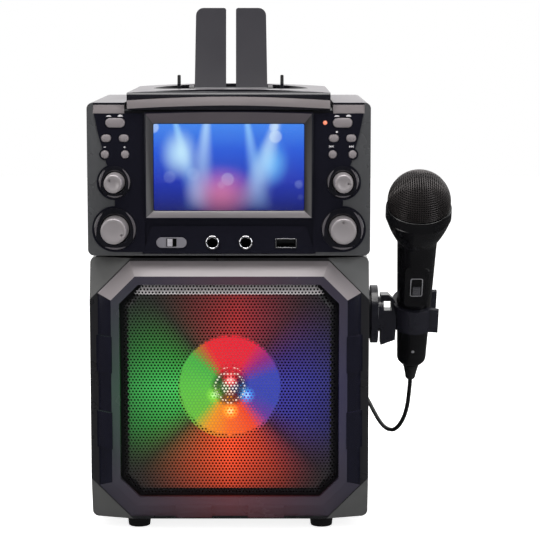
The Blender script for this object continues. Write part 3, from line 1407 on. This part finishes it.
def makeMarks():
    parts = []

    def mark(outline, face):
        parts.append(plate("mark", [outline], face - marks["proud"], face + 0.1, 0.01, 0))

    face = marks["face"]
    for x, z, wide, high in ((-81.2, 259.0, 1.5, 0.4), (-68.1, 259.0, 1.5, 0.4),
                             (-68.1, 259.0, 0.4, 1.5), (70.7, 268.9, 1.2, 1.2)):
        mark(boxAt(x, z, wide / 2, high / 2, 0.08, 2), face)
    for x, toward in ((67.2, -1), (80.2, 1)):
        for start in (-1.3, 0.0):
            mark([(x + toward * start, 259.4 - 0.8), (x + toward * (start + 1.2), 259.4),
                  (x + toward * start, 259.4 + 0.8)][::toward], face)
        mark(boxAt(x + toward * 1.4, 259.4, 0.18, 0.8, 0.05, 2), face)
    for x, tall in ((-78.4, 0.9), (-70.9, 1.35), (70.7, 0.9), (78.4, 1.35)):
        mark([(x + 1.7 * math.cos(math.radians(a)), 278.9 + tall * math.sin(math.radians(a)))
              for a in range(0, 181, 15)], face)
    x, z = -74.3, 274.9
    mark(arcPoints(x, z, 1.5, 130, 410, 24) + arcPoints(x, z, 1.2, 50, -230, 24),
         marks["capFace"])
    mark(boxAt(x, z + 1.0, 0.15, 0.7, 0.05, 2), marks["capFace"])
    place(joined("printedMarks", parts), printWhite, "cabinet", "fascia_gloss")
    print("stage: marks")


# Control strip: sockets, USB port, function slider
strip = {
    "z": 196.1, "front": -73.4, "jacks": (-11, 11), "jackR": 4.85, "jackBore": 3.2,
    "usbX": 37.6, "usbZ": 195.6, "slotX": -37.9, "sliderX": -38.9,
}


def makeSockets():
    parts = []
    for x in strip["jacks"]:
        r, bore = strip["jackR"], strip["jackBore"]
        ring = spun("jackRing", (x, strip["front"], strip["z"]), (0, -1, 0),
                    [(bore, -12), (4.2, -12), (4.2, 0), (r - 0.1, 0), (r, 0.25), (r - 0.1, 0.75),
                     (r - 0.5, 1.15), (r - 0.95, 1.3), (r - 1.3, 1.15), (bore, 0.6)],
                    64, 35, closedLoop=True)
        barrel = spun("jackBarrel", (x, strip["front"], strip["z"]), (0, 1, 0),
                      [(bore - 0.02, 0.2), (bore + 0.5, 0.2), (bore + 0.5, 22), (0, 22),
                       (0, 21), (bore - 0.02, 21)], 40)
        parts += [painted(ring, chrome), painted(barrel, socketBlack)]
    place(joined("micSockets", parts), None, "cabinet", "chrome", ["mic_jacks"])
    x, z = strip["usbX"], strip["usbZ"]
    parts = []
    # outlines as half width, half height, rise and corner radius; then front, back and edge
    for name, shapes, front, back, edge, steps, mat in (
            ("usbFrame", [(7.15, 3.25, 0, 0.9), (6.25, 2.55, 0, 0.3)], -74.0, -73.35, 0.18, 2,
             chrome),
            ("usbShell", [(6.55, 2.85, 0, 0.5), (6.25, 2.55, 0, 0.3)], -73.9, -59.5, 0.08, 1,
             steel),
            ("usbTongue", [(5.55, 0.95, 1.2, 0.15)], -72.5, -60.5, 0.1, 1, socketBlack),
            ("usbBack", [(6.4, 2.7, 0, 0.3)], -60.5, -59.5, 0.1, 1, socketBlack)):
        outlines = [boxAt(x, z + rise, wide, high, r) for wide, high, rise, r in shapes]
        parts.append(painted(plate(name, outlines, front, back, edge, steps), mat))
    place(joined("usbSocket", parts), None, "cabinet", "chrome", ["usb_port"])
    x, z = strip["slotX"], strip["z"]
    trim = plate("sliderTrim", [pillOutline(x, z, 10, 3.45),
                                boxAt(x, z, 3.35, 2.7, 0.3)], -74.1, -73.4, 0.22)
    place(trim, trimGrey, "cabinet", "trim_silver", ["slider_trim"])
    x = strip["sliderX"]
    ridge = []
    for k in range(5):
        low = z - 2.4 + 0.96 * k
        ridge += [(-75.3, low + 0.12), (-75.3, low + 0.62), (-74.95, low + 0.72),
                  (-74.95, low + 0.94)]
    profile = [(-69.9, z - 2.4)] + ridge + [(-69.9, z + 2.4)]
    work = bmesh.new()
    first, second = [[work.verts.new((side * mm, y * mm, h * mm)) for y, h in profile]
                     for side in (x - 1.6, x + 1.6)]
    bridged(work, [(first, second)])
    work.faces.new(first)
    work.faces.new(list(reversed(second)))
    tab = painted(meshPiece("sliderTab", work, 30), silverPlain)
    foot = plate("sliderFoot", [boxAt(x, z, 5.1, 3.7, 0.3)], -69.8, -68.8, 0.1, 1)
    place(joined("functionSlider", [tab, painted(foot, socketBlack)]), None, "slider",
          "button_grey", ["function_slider"])
    print("stage: sockets and slider")


# Microphone: everything is made round the handle's axis, from its tail
mic = {
    "tail": (126, 3.03, 102.77), "lean": 28.0, "handle": 104.5, "funnel": 18, "collar": 27,
    "tailR": 10.0, "neckR": 13.4, "switchAt": 74.0,
    "ballAt": 135.5, "ballR": 20.8, "wire": 0.3, "mesh": 1.5,
}


def micFrame():
    lean = math.radians(mic["lean"])
    up = Vector((0, -math.sin(lean), math.cos(lean)))
    front = Vector((0, -math.cos(lean), -math.sin(lean)))
    return Vector(mic["tail"]), up, front


def handleR(s):
    return mic["tailR"] + (mic["neckR"] - mic["tailR"]) * (s - 5) / (mic["handle"] - 5)


def makeMicrophone():
    tail, up, front = micFrame()
    neck, belt, rim = mic["handle"], mic["handle"] + mic["funnel"], mic["handle"] + mic["collar"]
    handle = [(0, 0), (5.1, 0), (5.6, 0.3), (9.0, 3.7), (9.7, 4.7), (10.05, 6)]
    handle += [(handleR(s), s) for s in (20, 40, 60, 80, 95)] + [(handleR(102), 102)]
    for k in range(9):
        t = k / 8
        handle.append((mic["neckR"] + (21.6 - mic["neckR"]) * t + 0.7 * math.sin(math.pi * t),
                       neck + mic["funnel"] * t))
    handle += [(22.0, belt + 0.8), (22.0, belt + 1.3), (21.7, belt + 1.5), (21.7, belt + 1.8),
               (22.0, belt + 2.0), (22.0, rim - 1.0), (21.7, rim - 0.3), (21.1, rim), (0, rim)]
    parts = [painted(spun("micHandle", tail, up, handle, 96, 22), micBlack)]
    # panel down the front, the switch recess with its rim, and a screw near the tail
    at = mic["switchAt"]
    base = tail + up * at + front * (handleR(at) - 0.6)
    parts.append(facePlate("switchPanel", base, up, front, 8.2, 16.2, 4.0, 1.1, 0.35, micBlack))
    parts.append(facePlate("switchRim", base, up, front, 4.2, 7.4, 1.5, 1.25, 0.15, rimGrey,
                           hole=(3.6, 6.8, 1.1)))
    parts.append(facePlate("switchWell", base, up, front, 3.6, 6.8, 1.1, 1.14, 0.1, socketBlack))
    parts.append(facePlate("tailScrew", tail + up * 17.5 + front * (handleR(17.5) - 0.5), up,
                           front, 1.1, 1.1, 1.05, 0.62, 0.15, rimGrey))
    place(joined("micBody", parts), None, "microphone", "mic_black", ["mic_handle"])
    switch = facePlate("micSwitchTab", tail + up * (at - 2.5) + front * (handleR(at) + 0.3), up,
                       front, 2.6, 3.2, 0.6, 1.7, 0.3, switchGrey, ridges=4)
    place(switch, None, "mic_slider", "mic_black", ["mic_switch"])
    relief = [(0, 0), (5.4, 0), (5.55, 0.5), (5.5, 1.6)]
    for k in range(4):
        low = 1.9 + 2.2 * k
        r = 5.2 - 0.42 * k
        relief += [(r, low), (r - 0.12, low + 1.3), (r - 0.55, low + 1.45), (r - 0.6, low + 1.95)]
    relief += [(3.7, 10.9), (3.5, 12), (3.0, 12.8), (2.4, 13), (0, 13)]
    cord = spun("strainRelief", tail, -up, relief, 48, 30)
    place(cord, rubberBlack, "microphone", "rubber", ["strain_relief"])
    makeMicBall(tail, up)
    print("stage: microphone")


# A rounded plate that faces 'front'; half sizes across and along the handle
def facePlate(name, base, up, front, halfWide, halfLong, radius, thick, edge, mat, hole=None,
              ridges=0):
    across = up.cross(front).normalized()
    outlines = [boxAt(0, 0, halfWide, halfLong, radius)]
    if hole:
        outlines.append(boxAt(0, 0, *hole))
    parts = [plate(name, outlines, -thick, 0.0, edge, 2)]
    for k in range(ridges):
        middle = -halfLong + (2 * halfLong) * (k + 0.5) / ridges
        parts.append(plate(name + "Ridge", [boxAt(0, middle, halfWide - 0.5, 0.32, 0.25, 3)],
                           -thick - 0.35, -thick + 0.1, 0.12, 1))
    # the plates are made in X and Z, facing -Y; turn them onto the handle
    turn = Matrix((across, -front, up)).transposed().to_4x4()
    turn.translation = base * mm
    for part in parts:
        painted(part, mat).data.transform(turn)
    return parts[0] if len(parts) == 1 else joined(name, parts)


# Woven wire ball: rings round the handle's axis cross rings that stand upright
def makeMicBall(tail, up):
    centre = tail + up * mic["ballAt"]
    reach = mic["ballR"] - 0.9
    start = -math.degrees(math.asin(4.3 / reach))
    foam = [(0, reach * math.sin(math.radians(start)))]
    foam += arcPoints(0, 0, reach, start, 90, 18)[:-1]
    core = spun("micFoam", centre, up, foam + [(0, reach)], 64, 30)
    place(core, foamBlack, "microphone", "mic_mesh")
    place(grown("micMesh", makeWireTree(), {
        "Ball Radius": mic["ballR"] * mm, "Wire Radius": mic["wire"] * mm,
        "Spacing": mic["mesh"] / mic["ballR"], "Centre": centre * mm, "Axis": up,
        "Material": micMesh,
    }, 60), None, "microphone", "mic_mesh", ["mic_grille"])


def makeWireTree():
    tree, size = makeGrower("wireBall", {
        "Float": ("Ball Radius", "Wire Radius", "Spacing"), "Vector": ("Centre", "Axis"),
        "Material": ("Material",)})
    plus, minus, times, over = sums(tree)
    calc = partial(mathNode, tree)
    joinAll = tree.nodes.new("GeometryNodeJoinGeometry")
    # two families of small circles: flat on the axis, and turned about it by a quarter
    for turned in (0, 90):
        index = tree.nodes.new("GeometryNodeInputIndex").outputs[0]
        angle = minus(times(plus(index, 0.5), size["Spacing"]), math.pi / 2)
        spot = wired(tree, "ShaderNodeCombineXYZ", {
            "X" if turned else "Z": times(calc("SINE", angle), size["Ball Radius"])})
        points = wired(tree, "GeometryNodePoints", {
            "Count": calc("FLOOR", over(math.pi, size["Spacing"])),
            "Position": spot.outputs[0]})
        ring = wired(tree, "GeometryNodeCurvePrimitiveCircle", {"Resolution": 72, "Radius": 1.0})
        reach = times(calc("COSINE", angle), size["Ball Radius"])
        wide = wired(tree, "ShaderNodeCombineXYZ", {"X": reach, "Y": reach, "Z": reach})
        spread = wired(tree, "GeometryNodeInstanceOnPoints", {
            "Points": points.outputs[0], "Instance": ring.outputs["Curve"],
            "Rotation": (0, math.radians(turned), 0), "Scale": wide.outputs[0]})
        real = wired(tree, "GeometryNodeRealizeInstances", {0: spread.outputs[0]})
        tree.links.new(real.outputs[0], joinAll.inputs[0])
    tube = wired(tree, "GeometryNodeCurvePrimitiveCircle", {
        "Resolution": 5, "Radius": size["Wire Radius"]})
    swept = wired(tree, "GeometryNodeCurveToMesh", {
        "Curve": joinAll.outputs[0], "Profile Curve": tube.outputs["Curve"]})
    aim = wired(tree, "FunctionNodeAlignRotationToVector", {"Vector": size["Axis"]}, axis="Z")
    move = wired(tree, "GeometryNodeTransform", {
        "Geometry": swept.outputs[0], "Translation": size["Centre"],
        "Rotation": aim.outputs[0]})
    return closeTree(tree, move, size["Material"])


# Feet
feet = {
    "places": [(x, y) for x in (-62, 62) for y in (-50, 50)],
    "profile": [(0, 0), (6.6, 0), (7.2, 0.3), (7.4, 1.0), (7.9, 6.0), (8.35, 7.2), (8.35, 8.0),
                (0, 8.0)],
}


def makeFeet():
    parts = []
    for x, y in feet["places"]:
        foot = spun("foot", (x, y, 0), (0, 0, 1), feet["profile"], 64, 30)
        parts.append(painted(foot, footBlack))
    place(joined("rubberFeet", parts), None, "cabinet", "foot_rubber", ["feet"])
    print("stage: feet")


makeLead()
makeGrille()
makeWoofer()
makeShells()
makeFrame()
makeScreen()
makeDials()
makeButtons()
makeMarks()
makeSockets()
makeMicrophone()
makeFeet()

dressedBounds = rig.bounds()
with open("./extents.json", "w") as out:
    json.dump({"cad": [list(corner) for corner in cadBounds],
               "visual": [list(corner) for corner in dressedBounds]}, out)
